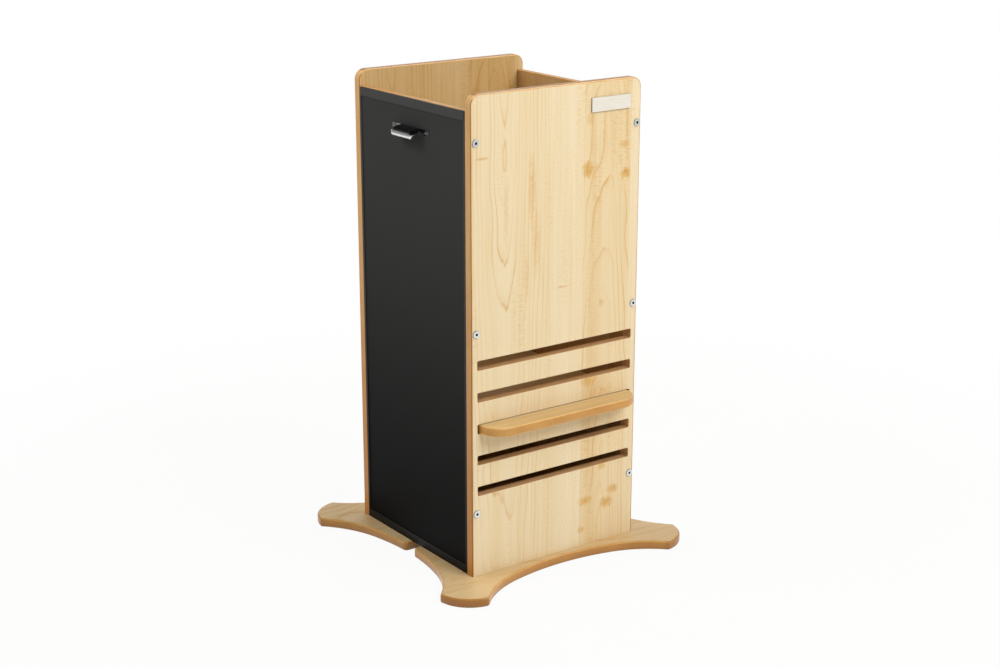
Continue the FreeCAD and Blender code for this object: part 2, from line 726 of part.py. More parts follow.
def make_barrel_nuts():
    nut = new_body("barrel_nut")
    length = "(board_thickness - 2 * nut_recess)"
    outline = new_sketch(nut, "XY_Plane", "nut_outline")
    circle(outline, "0", "0", "nut_diameter")
    pad(nut, outline, length)
    thread = new_sketch(nut, "YZ_Plane", "nut_thread", "-nut_diameter")
    circle(thread, "0", f"{length} / 2", bolt_hole)
    pocket(nut, thread, "2 * nut_diameter", True)
    spots = [(f"{outward} * ({inner_width} / 2 - nut_inset)", f"{front_edge} + {along} - {length} / 2",
              f"base_thickness + {up}", face_back)
             for along in (front_board_middle, back_board_middle)
             for outward in sides.values() for up in bolt_rows]
    group("barrel_nuts", nut, spots)


def make_dowel(name, diameter, length):
    radius = f"{diameter} / 2"
    end = f"{length} / 2"
    dowel = turned(name, [("0", f"-{end}"), (radius, f"-{end}"), (radius, end), ("0", end)])
    chamfer_edges(dowel, "dowel_chamfer", lambda edge: same(abs(middle_of(edge).z), value(end))
                  and hasattr(edge.Curve, "Radius"))
    return dowel


def make_dowels():
    panel_dowel = make_dowel("panel_dowel", "panel_dowel_diameter",
                             "(panel_dowel_length - 2 * fastener_clearance)")
    spots = [(f"{outward} * ({inner_width} / 2 + panel_dowel_depth - panel_dowel_length / 2)",
              f"{front_edge} + {along}", f"base_thickness + {up}", face_right)
             for along in (front_board_middle, back_board_middle)
             for outward in sides.values() for up in panel_dowel_rows]
    group("panel_dowels", panel_dowel, spots)
    base_dowel = make_dowel("base_dowel", "base_dowel_diameter",
                            "(base_dowel_length - 2 * fastener_clearance)")
    base_dowel_middle = "base_thickness - base_dowel_depth + base_dowel_length / 2"
    spots = [(f"{outward} * {side_middle}", along, base_dowel_middle, upright)
             for outward in sides.values() for along in side_dowel_places]
    group("base_dowels", base_dowel, spots)


def make_base_screws():
    radius = "base_screw_diameter / 2"
    head = "base_screw_head_diameter / 2"
    flare = "(base_screw_head_diameter - base_screw_diameter) / 2"
    tip = "(base_screw_length - fastener_clearance)"
    shoulder = f"{tip} - base_screw_tip"
    screw = turned("base_screw", [("0", "0"), (head, "0"), (radius, flare), (radius, shoulder), ("0", tip)])
    side_spots = [(f"{outward} * {side_middle}", along, "0", upright)
                  for outward in sides.values() for along in side_screw_places]
    board_spots = [(f"{outward} * board_screw_place", f"{front_edge} + {along}", "0", upright)
                   for outward in sides.values() for along in (front_board_middle, back_board_middle)]
    group("base_screws", screw, side_spots + board_spots)


def make_pull_screws():
    radius = "pull_screw_diameter / 2"
    head = "pull_screw_head_diameter / 2"
    tip = "-(pull_wall + writing_board_thickness)"
    screw = turned("pull_screw", [("0", tip), (radius, tip), (radius, "0"), (head, "0"),
                                  (head, "pull_screw_head_height"), ("0", "pull_screw_head_height")])
    round_edges(screw, "pull_screw_head_height * 0.8", lambda edge: hasattr(edge.Curve, "Radius")
                and same(middle_of(edge).z, value("pull_screw_head_height")))
    spots = [(f"{outward} * pull_screw_spacing / 2", f"{front_edge} + {board_front_gap} - pull_wall",
              f"base_thickness + {pull_top} - pull_ear_height / 2", face_front) for outward in sides.values()]
    group("pull_screws", screw, spots)


# Plate: a bare metal plate on the right side, held by two pins
def make_plate():
    plate_middle = "(side_depth / 2 - plate_back_margin - plate_length / 2)"
    plate_bottom = "(base_thickness + side_height - plate_top_drop - plate_height)"
    plate = new_body("name_plate", "outer_width / 2", plate_middle, plate_bottom)
    outline = new_sketch(plate, "YZ_Plane", "plate_outline")
    rectangle(outline, "-plate_length / 2", "0", "plate_length / 2", "plate_height")
    pad(plate, outline, "plate_thickness")
    round_edges(plate, "plate_round", lambda edge: not same(middle_of(edge).x, 0))
    holes = new_sketch(plate, "YZ_Plane", "plate_pin_holes")
    for outward in sides.values():
        circle(holes, f"{outward} * plate_pin_spacing / 2", "plate_height / 2", plate_pin_hole)
    pocket(plate, holes, "plate_pin_sunk", True)
    keep(plate, "name_plate")

    panel = next(node for node in nodes if node.Label == "side_panel_right")
    seats = new_sketch(panel, "YZ_Plane", "plate_pin_seats", "side_thickness")
    for outward in sides.values():
        circle(seats, f"{plate_middle} + side_depth / 2 + {outward} * plate_pin_spacing / 2",
               f"{plate_bottom} - base_thickness + plate_height / 2", plate_pin_hole)
    pocket(panel, seats, "plate_pin_length - plate_pin_sunk")

    radius = "plate_pin_diameter / 2"
    length = "(plate_pin_length - fastener_clearance)"
    pin = turned("plate_pin", [("0", f"-{length}"), (radius, f"-{length}"), (radius, "0"), ("0", "0")])
    spots = [("outer_width / 2 + plate_pin_sunk", f"{plate_middle} + {outward} * plate_pin_spacing / 2",
              f"{plate_bottom} + plate_height / 2", face_right) for outward in sides.values()]
    group("name_plate_pins", pin, spots)


for side_name, side_sign in sides.items():
    make_side_panel(side_name, side_sign)
    make_side_edging(side_name, side_sign)
    make_guide(side_name, side_sign)
front_rear_face = f"{front_edge} + {well_front}"
back_rear_face = f"{back_edge} - back_setback"
make_board("front_panel", front_rear_face)
make_top_edging("front_top_edging", front_rear_face)
make_board("back_panel", back_rear_face)
make_top_edging("back_top_edging", back_rear_face)
make_ledge()
make_writing_board()
make_header()
make_cup_pull()
make_pull_screws()
make_platform()
make_base_foot()
make_base_screws()
make_dowels()
make_bolts()
make_barrel_nuts()
make_plate()

# Check everything, then write one file for each node
doc.recompute()
failed = [item.Name for item in doc.Objects if "Invalid" in item.State or "Error" in item.State]
if failed:
    raise ValueError("failed objects: " + ", ".join(failed))
for node in nodes:
    if node.Shape.isNull() or not node.Shape.isValid() or not node.Shape.Solids:
        raise ValueError(node.Label + " has no valid solid")
os.makedirs("parts", exist_ok=True)
for node in nodes:
    node.Shape.exportStep("parts/%s.step" % node.Label)
    print("%-22s %3d solids  %9.1f cubic cm" % (node.Label, len(node.Shape.Solids), node.Shape.Volume / 1000))
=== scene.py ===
import math

import bmesh
import bpy
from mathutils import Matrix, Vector


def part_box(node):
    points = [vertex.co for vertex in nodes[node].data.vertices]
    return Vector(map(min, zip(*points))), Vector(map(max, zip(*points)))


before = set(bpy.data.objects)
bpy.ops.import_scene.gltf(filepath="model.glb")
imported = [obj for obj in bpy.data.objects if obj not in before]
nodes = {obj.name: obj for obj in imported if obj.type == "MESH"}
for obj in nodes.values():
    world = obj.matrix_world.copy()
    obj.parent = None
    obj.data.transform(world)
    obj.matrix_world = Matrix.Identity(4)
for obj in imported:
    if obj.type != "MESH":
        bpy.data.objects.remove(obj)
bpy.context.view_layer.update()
print("frame loaded:", len(nodes), "nodes")


# node helpers: a feed is either another node's socket or a plain value
def put(tree, kind, feeds=None, **settings):
    node = tree.nodes.new(kind)
    for name, setting in settings.items():
        setattr(node, name, setting)
    for key, feed in (feeds or {}).items():
        if isinstance(feed, bpy.types.NodeSocket):
            tree.links.new(feed, node.inputs[key])
        else:
            node.inputs[key].default_value = feed
    return node


def calc(tree, operation, *feeds, clamp=False):
    node = put(tree, "ShaderNodeMath", dict(enumerate(feeds)), operation=operation, use_clamp=clamp)
    return node.outputs[0]


def times(tree, first, second):
    return calc(tree, "MULTIPLY", first, second)


def offMiddle(tree, noise):  # noise swings about a half
    return calc(tree, "SUBTRACT", noise, 0.5)


def lengthOf(tree, first, second):
    return calc(tree, "SQRT", calc(tree, "MULTIPLY_ADD", first, first, times(tree, second, second)))


def noiseOf(tree, vector, scale, detail=2.0, roughness=0.5, distortion=0.0):
    feeds = {"Vector": vector, "Scale": scale, "Detail": detail,
             "Roughness": roughness, "Distortion": distortion}
    return put(tree, "ShaderNodeTexNoise", feeds).outputs["Fac"]


def stretchedNoise(tree, vector, stretch, *settings):  # settings: detail, roughness, distortion
    drawn = put(tree, "ShaderNodeMapping", {"Vector": vector, "Scale": stretch}).outputs["Vector"]
    return noiseOf(tree, drawn, 1.0, *settings)


def spanOf(tree, value, low, high, outLow=0.0, outHigh=1.0):  # smooth step between two levels
    feeds = {"Value": value, "From Min": low, "From Max": high, "To Min": outLow, "To Max": outHigh}
    node = put(tree, "ShaderNodeMapRange", feeds, interpolation_type="SMOOTHSTEP")
    return node.outputs["Result"]


def rampOf(tree, value, stops, interpolation="LINEAR"):
    node = put(tree, "ShaderNodeValToRGB", {"Fac": value})
    node.color_ramp.interpolation = interpolation
    points = node.color_ramp.elements
    while len(points) < len(stops):
        points.new(1.0)
    for point, (place, colour) in zip(points, stops):
        point.position = place
        point.color = (*colour, 1.0)
    return node.outputs["Color"]


def channelsOf(tree, colour):
    return put(tree, "ShaderNodeSeparateColor", {"Color": colour}).outputs


def levelsOf(tree, value, stops):  # a ramp of plain levels
    greys = [(place, (level,) * 3) for place, level in stops]
    return channelsOf(tree, rampOf(tree, value, greys))[0]


def mixOf(tree, factor, first, second, mode="MIX"):
    node = put(tree, "ShaderNodeMix", {0: factor}, data_type="RGBA", blend_type=mode)
    for index, feed in ((6, first), (7, second)):
        if isinstance(feed, bpy.types.NodeSocket):
            tree.links.new(feed, node.inputs[index])
        else:
            node.inputs[index].default_value = (*feed, 1.0)
    return node.outputs[2]


def tinted(tree, colour, tint):
    return mixOf(tree, 1.0, colour, tint, "MULTIPLY")


def partsOf(tree, vector):
    return put(tree, "ShaderNodeSeparateXYZ", {"Vector": vector}).outputs


def newMaterial(name, **sockets):
    material = bpy.data.materials.new(name)
    material.use_nodes = True
    tree = material.node_tree
    shader = tree.nodes["Principled BSDF"]
    for key, setting in sockets.items():
        shader.inputs[key].default_value = setting
    coords = put(tree, "ShaderNodeTexCoord")
    return material, tree, shader, coords.outputs


def finishSurface(tree, shader, colour, rough, relief):  # rough: arguments of spanOf
    height, strength, distance = relief
    feeds = {"Height": height, "Strength": strength, "Distance": distance}
    bump = put(tree, "ShaderNodeBump", feeds)
    tree.links.new(colour, shader.inputs["Base Color"])
    tree.links.new(spanOf(tree, *rough), shader.inputs["Roughness"])
    tree.links.new(bump.outputs["Normal"], shader.inputs["Normal"])


def dress(material, *names):  # the CAD nodes keep their shapes and take a finish
    for name in names:
        slots = nodes[name].data.materials
        slots.clear()
        slots.append(material)


# maple print: planks side by side, each with its own tone, heart line and rings
mapleLook = {
    "run": 0.382,                # width of one run of planks
    "planks": [                  # where it starts, tone, heart line, strength of the rings
        (0.000, 0.29, 0.185, 0.95),
        (0.460, 0.13, 0.020, 0.30),
        (0.655, 0.60, 0.790, 1.00),
        (0.943, 0.24, 0.600, 0.40),
    ],
    "cuts": [                    # depth of the saw cut at the floor, its climb + 0.5, share of fleck
        (0.066, 0.432, 0.35),
        (0.030, 0.520, 1.00),
        (0.003, 0.576, 0.30),
        (0.020, 0.530, 0.40),
    ],
    "climbZero": 0.5,
    "sways": {                   # stretch of the noise, its detail, how far it moves the rings
        "drift": ((5.0, 2.4, 1.0), 1.0, 0.014),
        "swell": ((3.0, 5.5, 1.0), 1.0, 0.030),
        "wobble": ((60.0, 9.0, 1.0), 2.0, 0.0050),
        "spread": ((24.0, 0.8, 1.0), 1.0, 0.020),
    },
    "ringGap": 0.0085,
    "ringLevels": [(0.0, 0.0), (0.60, 0.03), (0.84, 0.30), (0.93, 1.0), (1.0, 0.0)],
    "ringFade": {"noise": ((24.0, 3.4, 1.0), 1.0), "span": (0.36, 0.64, 0.18, 0.66)},
    "ringChance": (0.1, 0.9, 0.40, 1.25),
    "layers": {                  # noise, span it is sharpened to, share in the tone
        "band": (((30.0, 1.1, 1.0), 3.0, 0.6, 0.6), (0.34, 0.72), 0.17),
        "streak": (((260.0, 4.0, 1.0), 3.0, 0.6), (0.50, 0.78), 0.10),
        "fibre": (((1200.0, 26.0, 1.0), 2.0, 0.6), None, 0.08),
        "curl": (((70.0, 300.0, 1.0), 2.0, 0.6), (0.42, 0.72), 0.20),
        "fleck": (((240.0, 330.0, 1.0), 1.0), (0.52, 0.74), 0.16),
    },
    "curlPatch": {"noise": ((20.0, 3.0, 1.0), 2.0), "span": (0.48, 0.68, 0.15, 1.0)},
    "plankShare": 0.40,
    "tones": [
        (0.10, (0.905, 0.770, 0.535)),   # cream
        (0.36, (0.850, 0.665, 0.390)),   # straw
        (0.66, (0.745, 0.500, 0.225)),   # honey
        (0.92, (0.570, 0.310, 0.105)),   # amber
    ],
    "line": (0.690, 0.375, 0.090),
    "feather": {"noise": ((190.0, 85.0, 1.0), 4.0, 0.7, 1.0), "reach": 4.2},
    "knotTones": [               # colour, span it fades over, share of the knot's strength
        ((0.720, 0.395, 0.085), (0.1, 1.7), 1.0),
        ((0.540, 0.250, 0.045), (-0.7, 0.4), 0.7),
    ],
}


def plankValues(tree, place, rows):  # one set of values for each plank
    starts = [plank[0] for plank in mapleLook["planks"]]
    return channelsOf(tree, rampOf(tree, place, list(zip(starts, rows)), "CONSTANT"))


def mapleColour(tree, across, along, seed, knots=()):
    look = mapleLook
    place = calc(tree, "FRACT", calc(tree, "DIVIDE", across, look["run"]))
    tone, heart, ringForce = plankValues(tree, place, [plank[1:] for plank in look["planks"]])
    base, climb, fleckForce = plankValues(tree, place, look["cuts"])
    grain = put(tree, "ShaderNodeCombineXYZ", {"X": across, "Y": along, "Z": seed}).outputs["Vector"]

    def swayed(value, key):
        stretch, detail, reach = look["sways"][key]
        swing = offMiddle(tree, stretchedNoise(tree, grain, stretch, detail))
        return calc(tree, "MULTIPLY_ADD", swing, reach, value)

    # rings: the saw cut runs at a slant through the trunk, so they show as long arches
    aside = swayed(times(tree, calc(tree, "SUBTRACT", place, heart), look["run"]), "drift")
    slope = calc(tree, "SUBTRACT", climb, look["climbZero"])
    depth = swayed(calc(tree, "MULTIPLY_ADD", slope, along, base), "swell")
    reach = swayed(swayed(lengthOf(tree, aside, depth), "wobble"), "spread")
    phase = calc(tree, "DIVIDE", reach, look["ringGap"])
    ring = levelsOf(tree, calc(tree, "FRACT", phase), look["ringLevels"])
    fade = stretchedNoise(tree, grain, *look["ringFade"]["noise"])
    ring = times(tree, ring, spanOf(tree, fade, *look["ringFade"]["span"]))
    count = {"W": calc(tree, "FLOOR", phase)}
    chance = put(tree, "ShaderNodeTexWhiteNoise", count, noise_dimensions="1D").outputs["Value"]
    force = times(tree, ringForce, spanOf(tree, chance, *look["ringChance"]))
    ring = times(tree, ring, force)

    layers = {}
    for key, (noise, span, share) in look["layers"].items():
        layer = stretchedNoise(tree, grain, *noise)
        layers[key] = spanOf(tree, layer, *span) if span else layer
    patch = stretchedNoise(tree, grain, *look["curlPatch"]["noise"])
    layers["curl"] = times(tree, layers["curl"], spanOf(tree, patch, *look["curlPatch"]["span"]))
    layers["fleck"] = times(tree, layers["fleck"], fleckForce)
    level = times(tree, tone, look["plankShare"])
    for key, (noise, span, share) in look["layers"].items():
        level = calc(tree, "MULTIPLY_ADD", layers[key], share, level)
    colour = mixOf(tree, ring, rampOf(tree, level, look["tones"]), look["line"])

    feather = offMiddle(tree, stretchedNoise(tree, grain, *look["feather"]["noise"]))
    feather = times(tree, feather, look["feather"]["reach"])
    for middle, height, halfWide, halfHigh, strength in knots:
        widths = look["run"] / halfWide
        side = calc(tree, "MULTIPLY_ADD", place, widths, -middle * widths)
        rise = calc(tree, "MULTIPLY_ADD", along, 1.0 / halfHigh, -height / halfHigh)
        away = calc(tree, "MULTIPLY_ADD", side, side, times(tree, rise, rise))
        away = calc(tree, "ADD", away, feather)
        for knotTone, span, share in look["knotTones"]:
            colour = mixOf(tree, spanOf(tree, away, *span, strength * share, 0.0), colour, knotTone)
    return colour, layers["fibre"], calc(tree, "MAXIMUM", layers["streak"], ring)


# laminated boards: the print on the faces, bare board on the slot walls and other cut faces
laminateLook = {
    "sockets": {"Specular IOR Level": 0.34, "Coat Weight": 0.06, "Coat Roughness": 0.22},
    "innerTurn": (0.4, -0.4),
    "innerLine": 0.50,
    "sawnNoise": ((260.0, 30.0, 260.0), 3.0, 0.6),
    "sawnTones": [(0.30, (0.500, 0.280, 0.115)), (0.70, (0.690, 0.425, 0.200))],
    "sawnTurn": (0.55, 0.80),
    "rough": (0.25, 0.75, 0.36, 0.47),
    "relief": (0.10, 0.0004),
}


def makeLaminate(look):
    finish = laminateLook
    material, tree, shader, coords = newMaterial(look["material"], **finish["sockets"])
    xyz = partsOf(tree, coords["Object"])
    across = calc(tree, "SUBTRACT", xyz[look["across"]], look["start"])
    colour, fibre, grainLine = mapleColour(tree, across, xyz[look["along"]], look["seed"], look["knots"])
    facing = partsOf(tree, coords["Normal"])[look["face"]]
    if "tint" in look:
        colour = tinted(tree, colour, look["tint"])
    if "inner" in look:  # painted shade: darker, browner and more lined towards the well
        outward = times(tree, facing, calc(tree, "SIGN", xyz[look["face"]]))
        lined = mixOf(tree, times(tree, grainLine, finish["innerLine"]), colour, mapleLook["line"])
        inwardPaintedShade = spanOf(tree, outward, *finish["innerTurn"])
        colour = mixOf(tree, inwardPaintedShade, colour, tinted(tree, lined, look["inner"]))
    sawnNoise = stretchedNoise(tree, coords["Object"], *finish["sawnNoise"])
    sawn = rampOf(tree, sawnNoise, finish["sawnTones"])
    flat = spanOf(tree, calc(tree, "ABSOLUTE", facing), *finish["sawnTurn"])
    colour = mixOf(tree, flat, sawn, colour)
    finishSurface(tree, shader, colour, (fibre, *finish["rough"]), (fibre, *finish["relief"]))
    return material


sideLook = {
    "material": "maple_laminate_sides",
    "across": "Y", "along": "Z", "face": "X",
    "start": -0.191,
    "seed": 0.0,
    # inner: a painted shade for the faces towards the well
    "inner": (0.77, 0.655, 0.47),
    "knots": [                   # place across, height, half width, half height, strength
        (0.683, 0.757, 0.0120, 0.0150, 0.75),
        (0.905, 0.796, 0.0110, 0.0070, 0.50),
        (0.914, 0.741, 0.0110, 0.0095, 0.80),
        (0.690, 0.850, 0.0080, 0.0110, 0.35),
        (0.700, 0.352, 0.0150, 0.0130, 0.60),
        (0.690, 0.109, 0.0150, 0.0085, 0.70),
        (0.868, 0.118, 0.0130, 0.0090, 0.60),
        (0.828, 0.094, 0.0150, 0.0110, 0.70),
        (0.668, 0.050, 0.0075, 0.0070, 0.55),
        (0.795, 0.172, 0.0090, 0.0070, 0.50),
        (0.065, 0.804, 0.0150, 0.0026, 0.45),
        (0.533, 0.546, 0.0130, 0.0024, 0.40),
        (0.775, 0.500, 0.0060, 0.0080, 0.35),
        (0.350, 0.735, 0.0090, 0.0600, 0.30),   # long smears from here on
        (0.375, 0.640, 0.0080, 0.0550, 0.26),
        (0.320, 0.575, 0.0070, 0.0500, 0.20),
        (0.200, 0.700, 0.0050, 0.0600, 0.22),
        (0.780, 0.330, 0.0220, 0.0500, 0.20),
    ],
}
boardLook = {
    "material": "maple_laminate_boards",
    "across": "X", "along": "Z", "face": "Y",
    "start": -0.120,
    "seed": 4.0,
    # inner: a painted shade for the faces towards the well
    "inner": (0.65, 0.51, 0.34),
    "knots": [
        (0.320, 0.640, 0.0100, 0.0110, 0.50),
        (0.700, 0.300, 0.0120, 0.0090, 0.55),
        (0.580, 0.810, 0.0080, 0.0070, 0.40),
    ],
}
platformLook = {
    "material": "maple_laminate_platform",
    "across": "X", "along": "Y", "face": "Z",
    "start": -0.052,
    "seed": 9.0,
    "tint": (0.79, 0.710, 0.550),
    "knots": [],
}
dress(makeLaminate(sideLook), "side_panel_right", "side_panel_left")
dress(makeLaminate(boardLook), "front_panel", "back_panel")
dress(makeLaminate(platformLook), "platform")
print("maple dressed")


# lacquered brown wood of the edging, the lipping and the feet's rims; their rounded edges are painted paler,
# partly wear and partly a painted highlight
brownLook = {
    "sockets": {"Specular IOR Level": 0.15, "Coat Weight": 0.18, "Coat Roughness": 0.14},
    "fine": (4.0, 0.6),
    "broad": (22.0, 2.0),
    "fineShare": 0.65,
    "broadShare": 0.35,
    "tones": [(0.30, (0.420, 0.200, 0.060)), (0.50, (0.480, 0.240, 0.078)), (0.72, (0.540, 0.288, 0.102))],
    "wornAndHighlight": (0.700, 0.440, 0.200),
    "rubAndSheenNoise": (60.0, 3.0, 0.6),
    "rubAndSheen": (0.30, 0.70, 0.40, 0.75),
    "edgeFrom": (0.20, 0.55),
    "edgeTo": (0.98, 0.80),
    "upward": (0.30, 0.60),
    "fadeHeight": (0.05, 0.90),
    "cornerShare": 0.85,
    "topTurn": (0.80, 0.96, 0.0, 0.88),
    "rough": (0.2, 0.8, 0.30, 0.44),
    "relief": (0.10, 0.0003),
}


def shaded(tone, shade):
    return tuple(part * by for part, by in zip(tone, shade))


def brownColour(tree, vector, stretch, shade, wearAndHighlight):
    look = brownLook
    fine = stretchedNoise(tree, vector, stretch, *look["fine"])
    broad = noiseOf(tree, vector, *look["broad"])
    level = times(tree, fine, look["fineShare"])
    level = calc(tree, "MULTIPLY_ADD", broad, look["broadShare"], level)
    colour = rampOf(tree, level, [(place, shaded(tone, shade)) for place, tone in look["tones"]])
    rubAndSheen = spanOf(tree, noiseOf(tree, vector, *look["rubAndSheenNoise"]), *look["rubAndSheen"])
    # the rounded edges turn paler: partly wear, partly a painted highlight
    return mixOf(tree, times(tree, wearAndHighlight, rubAndSheen), colour, shaded(look["wornAndHighlight"], shade)), fine


def roundedEdge(tree, slope):  # strong where a face turns between flat and upright
    turn = calc(tree, "ABSOLUTE", slope)
    return times(tree, spanOf(tree, turn, *brownLook["edgeFrom"]), spanOf(tree, turn, *brownLook["edgeTo"]))


def makeBrown(look):
    finish = brownLook
    material, tree, shader, coords = newMaterial(look["material"], **finish["sockets"])
    normal = partsOf(tree, coords["Normal"])
    turned = roundedEdge(tree, normal[look["wearAndHighlightAxis"]])
    upward = spanOf(tree, normal["Z"], *finish["upward"])
    # with a corner colour the paler band keeps to the up-facing corners, where it is a painted highlight
    wearAndHighlight = times(tree, turned, upward) if "corner" in look else turned
    colour, fine = brownColour(tree, coords["Object"], look["stretch"], look["shade"], wearAndHighlight)
    if "fade" in look:  # painted shade towards the floor and painted light towards the top
        height = spanOf(tree, partsOf(tree, coords["Object"])["Z"], *finish["fadeHeight"])
        colour = tinted(tree, colour, rampOf(tree, height, look["fade"]))
    if "corner" in look:  # painted shade: the upright rounded corners are darkened
        upright = times(tree, turned, calc(tree, "SUBTRACT", 1.0, upward))
        colour = mixOf(tree, times(tree, upright, finish["cornerShare"]), colour, look["corner"])
    # up-facing faces take the top colour: a painted shade on the side edging, the tone of its top on the
    # lipping
    if "top" in look:
        colour = mixOf(tree, spanOf(tree, normal["Z"], *finish["topTurn"]), colour, look["top"])
    finishSurface(tree, shader, colour, (fine, *finish["rough"]), (fine, *finish["relief"]))
    return material


edgingLook = {
    "material": "edge_banding",
    "stretch": (520.0, 30.0, 9.0),
    "shade": (1.34, 1.34, 1.25),
    "wearAndHighlightAxis": "X",
    # top: a painted shade on the up-facing faces
    "top": (0.33, 0.160, 0.050),
    # corner: a painted shade for the upright rounded corners
    "corner": (0.24, 0.115, 0.035),
    # fade: painted shade low down and painted light high up
    "fade": [(0.0, (0.86, 0.75, 0.61)), (1.0, (1.17, 1.38, 1.85))],
}
boardEdgingLook = {
    "material": "edge_banding_boards",
    "stretch": (9.0, 620.0, 9.0),
    "shade": (1.15, 1.15, 1.10),
    "wearAndHighlightAxis": "Y",
}
lippingLook = {
    "material": "lipping_wood",
    "stretch": (12.0, 12.0, 220.0),
    "shade": (1.28, 1.31, 1.18),
    "wearAndHighlightAxis": "Z",
    "top": (0.67, 0.470, 0.215),
}
dowelLook = {
    "material": "dowel_wood",
    "stretch": (420.0, 420.0, 20.0),
    "shade": (1.4, 1.4, 1.4),
    "wearAndHighlightAxis": "Z",
}
dress(makeBrown(edgingLook), "side_edging_right", "side_edging_left")
dress(makeBrown(boardEdgingLook), "front_top_edging", "back_top_edging")
dress(makeBrown(lippingLook), "platform_edging")
dress(makeBrown(dowelLook), "panel_dowels", "base_dowels")


# feet: maple print on top, brown lacquer round the rims
footLook = {
    "material": "foot_wood",
    "sockets": {"Specular IOR Level": 0.20, "Coat Weight": 0.50, "Coat Roughness": 0.14},
    "start": -0.270,
    "seed": 17.0,
    "line": 0.25,
    "tint": (0.77, 0.68, 0.545),
    "stretch": (22.0, 22.0, 300.0),
    "shade": (1.12, 1.06, 0.76),
    "lobeFrom": (0.335, 0.365, 0.0, 0.60),   # distance from the middle, where the rims take a painted shade
    "lobe": (0.310, 0.108, 0.018),
    "bottomPaintedShadeBelow": (0.013, 0.001, 0.0, 0.45), # height above the floor, where the rims take a painted shade
    "bottomPaintedShade": (0.300, 0.130, 0.035),
    "topTurn": (0.90, 0.985),
    "rough": (0.2, 0.8, 0.32, 0.45),
    "relief": (0.08, 0.0003),
}


def makeFootWood(look):
    material, tree, shader, coords = newMaterial(look["material"], **look["sockets"])
    xyz = partsOf(tree, coords["Object"])
    across = calc(tree, "SUBTRACT", xyz["X"], look["start"])
    maple, fibre, grainLine = mapleColour(tree, across, xyz["Y"], look["seed"])
    maple = mixOf(tree, times(tree, grainLine, look["line"]), maple, mapleLook["line"])
    maple = tinted(tree, maple, look["tint"])
    up = partsOf(tree, coords["Normal"])["Z"]
    # the rims' rounded edges turn paler: partly wear, partly a painted highlight
    wearAndHighlight = roundedEdge(tree, up)
    rim, fine = brownColour(tree, coords["Object"], look["stretch"], look["shade"], wearAndHighlight)
    lobe = spanOf(tree, lengthOf(tree, xyz["X"], xyz["Y"]), *look["lobeFrom"])
    # painted shade on the lobes' noses
    rim = mixOf(tree, lobe, rim, look["lobe"])
    # painted shade along the bottom of the rims
    rim = mixOf(tree, spanOf(tree, xyz["Z"], *look["bottomPaintedShadeBelow"]), rim, look["bottomPaintedShade"])
    colour = mixOf(tree, spanOf(tree, up, *look["topTurn"]), rim, maple)
    finishSurface(tree, shader, colour, (fine, *look["rough"]), (fibre, *look["relief"]))
    return material


dress(makeFootWood(footLook), "base_foot_right", "base_foot_left")
print("brown wood dressed")


# black board and strips, darker towards the floor and greyer towards the top: a painted shade low down and a
# painted sheen high up
blackLook = {
    "cloud": (7.0, 3.0, 0.55),
    "cloudShare": 0.20,
    "grain": (3.0, 0.6),
    "height": (0.05, 0.88, 0.05, 0.90),
    "rough": (0.3, 0.7),
    "relief": (0.12, 0.0002),
}
writingLook = {
    "material": "writing_black",
    "low": (0.0022, 0.0022, 0.0023),
    "high": (0.0560, 0.0560, 0.0562),
    "rough": (0.46, 0.54),
    "specular": 0.03,
    "grainScale": 1500.0,
}
stripLook = {
    "material": "black_plastic",
    "low": (0.0050, 0.0050, 0.0052),
    "high": (0.0700, 0.0700, 0.0705),
    "rough": (0.36, 0.46),
    "specular": 0.12,
    "grainScale": 900.0,
}


def makeBlack(look):
    finish = blackLook
    sockets = {"Specular IOR Level": look["specular"]}
    material, tree, shader, coords = newMaterial(look["material"], **sockets)
    grain = noiseOf(tree, coords["Object"], look["grainScale"], *finish["grain"])
    cloud = noiseOf(tree, coords["Object"], *finish["cloud"])
    # painted shade low down and painted sheen high up, by height
    share = spanOf(tree, partsOf(tree, coords["Object"])["Z"], *finish["height"])
    swing = offMiddle(tree, cloud)
    share = calc(tree, "MULTIPLY_ADD", swing, finish["cloudShare"], share, clamp=True)
    colour = rampOf(tree, share, [(0.0, look["low"]), (1.0, look["high"])])
    rough = (cloud, *finish["rough"], *look["rough"])
    finishSurface(tree, shader, colour, rough, (grain, *finish["relief"]))
    return material


dress(makeBlack(writingLook), "writing_board")
dress(makeBlack(stripLook), "board_guide_right", "board_guide_left", "board_footer_ledge", "board_header_rail")
print("black dressed")


# metals, some with a painted shade that darkens parts of them
metalLook = {
    "noise": (3.0, 0.6),
    "dim": (0.86, 0.86, 0.86),
    "tones": (0.30, 0.70),
    "metalPaintedShade": (0.045, 0.045, 0.048),
    "rough": (0.25, 0.75),
    "reliefDepth": 0.0001,
}


def makeMetal(look, shadeOf=None):
    finish = metalLook
    material, tree, shader, coords = newMaterial(look["material"], Metallic=look["metallic"])
    fine = stretchedNoise(tree, coords["Object"], look["brush"], *finish["noise"])
    tones = (shaded(look["tint"], finish["dim"]), look["tint"])
    colour = rampOf(tree, fine, list(zip(finish["tones"], tones)))
    if shadeOf:
        # painted shade mixed in where the shade mask is strong
        colour = mixOf(tree, shadeOf(tree, coords), colour, finish["metalPaintedShade"])
    rough = (fine, *finish["rough"], *look["rough"])
    finishSurface(tree, shader, colour, rough, (fine, look["relief"], finish["reliefDepth"]))
    return material


boltLook = {
    "material": "bolt_zinc",
    "metallic": 0.45,
    "tint": (0.84, 0.86, 0.85),
    "rough": (0.20, 0.32),
    "brush": (900.0, 900.0, 900.0),
    "relief": 0.08,
    "socketRadius": 0.00295,
    "headRadius": 0.00725,
    "headSkin": 0.0003,
    "footWidth": 0.0009,
    "footShade": 0.55,
}
boltLow, boltHigh = (Vector(corner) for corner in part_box("connector_bolts_right"))


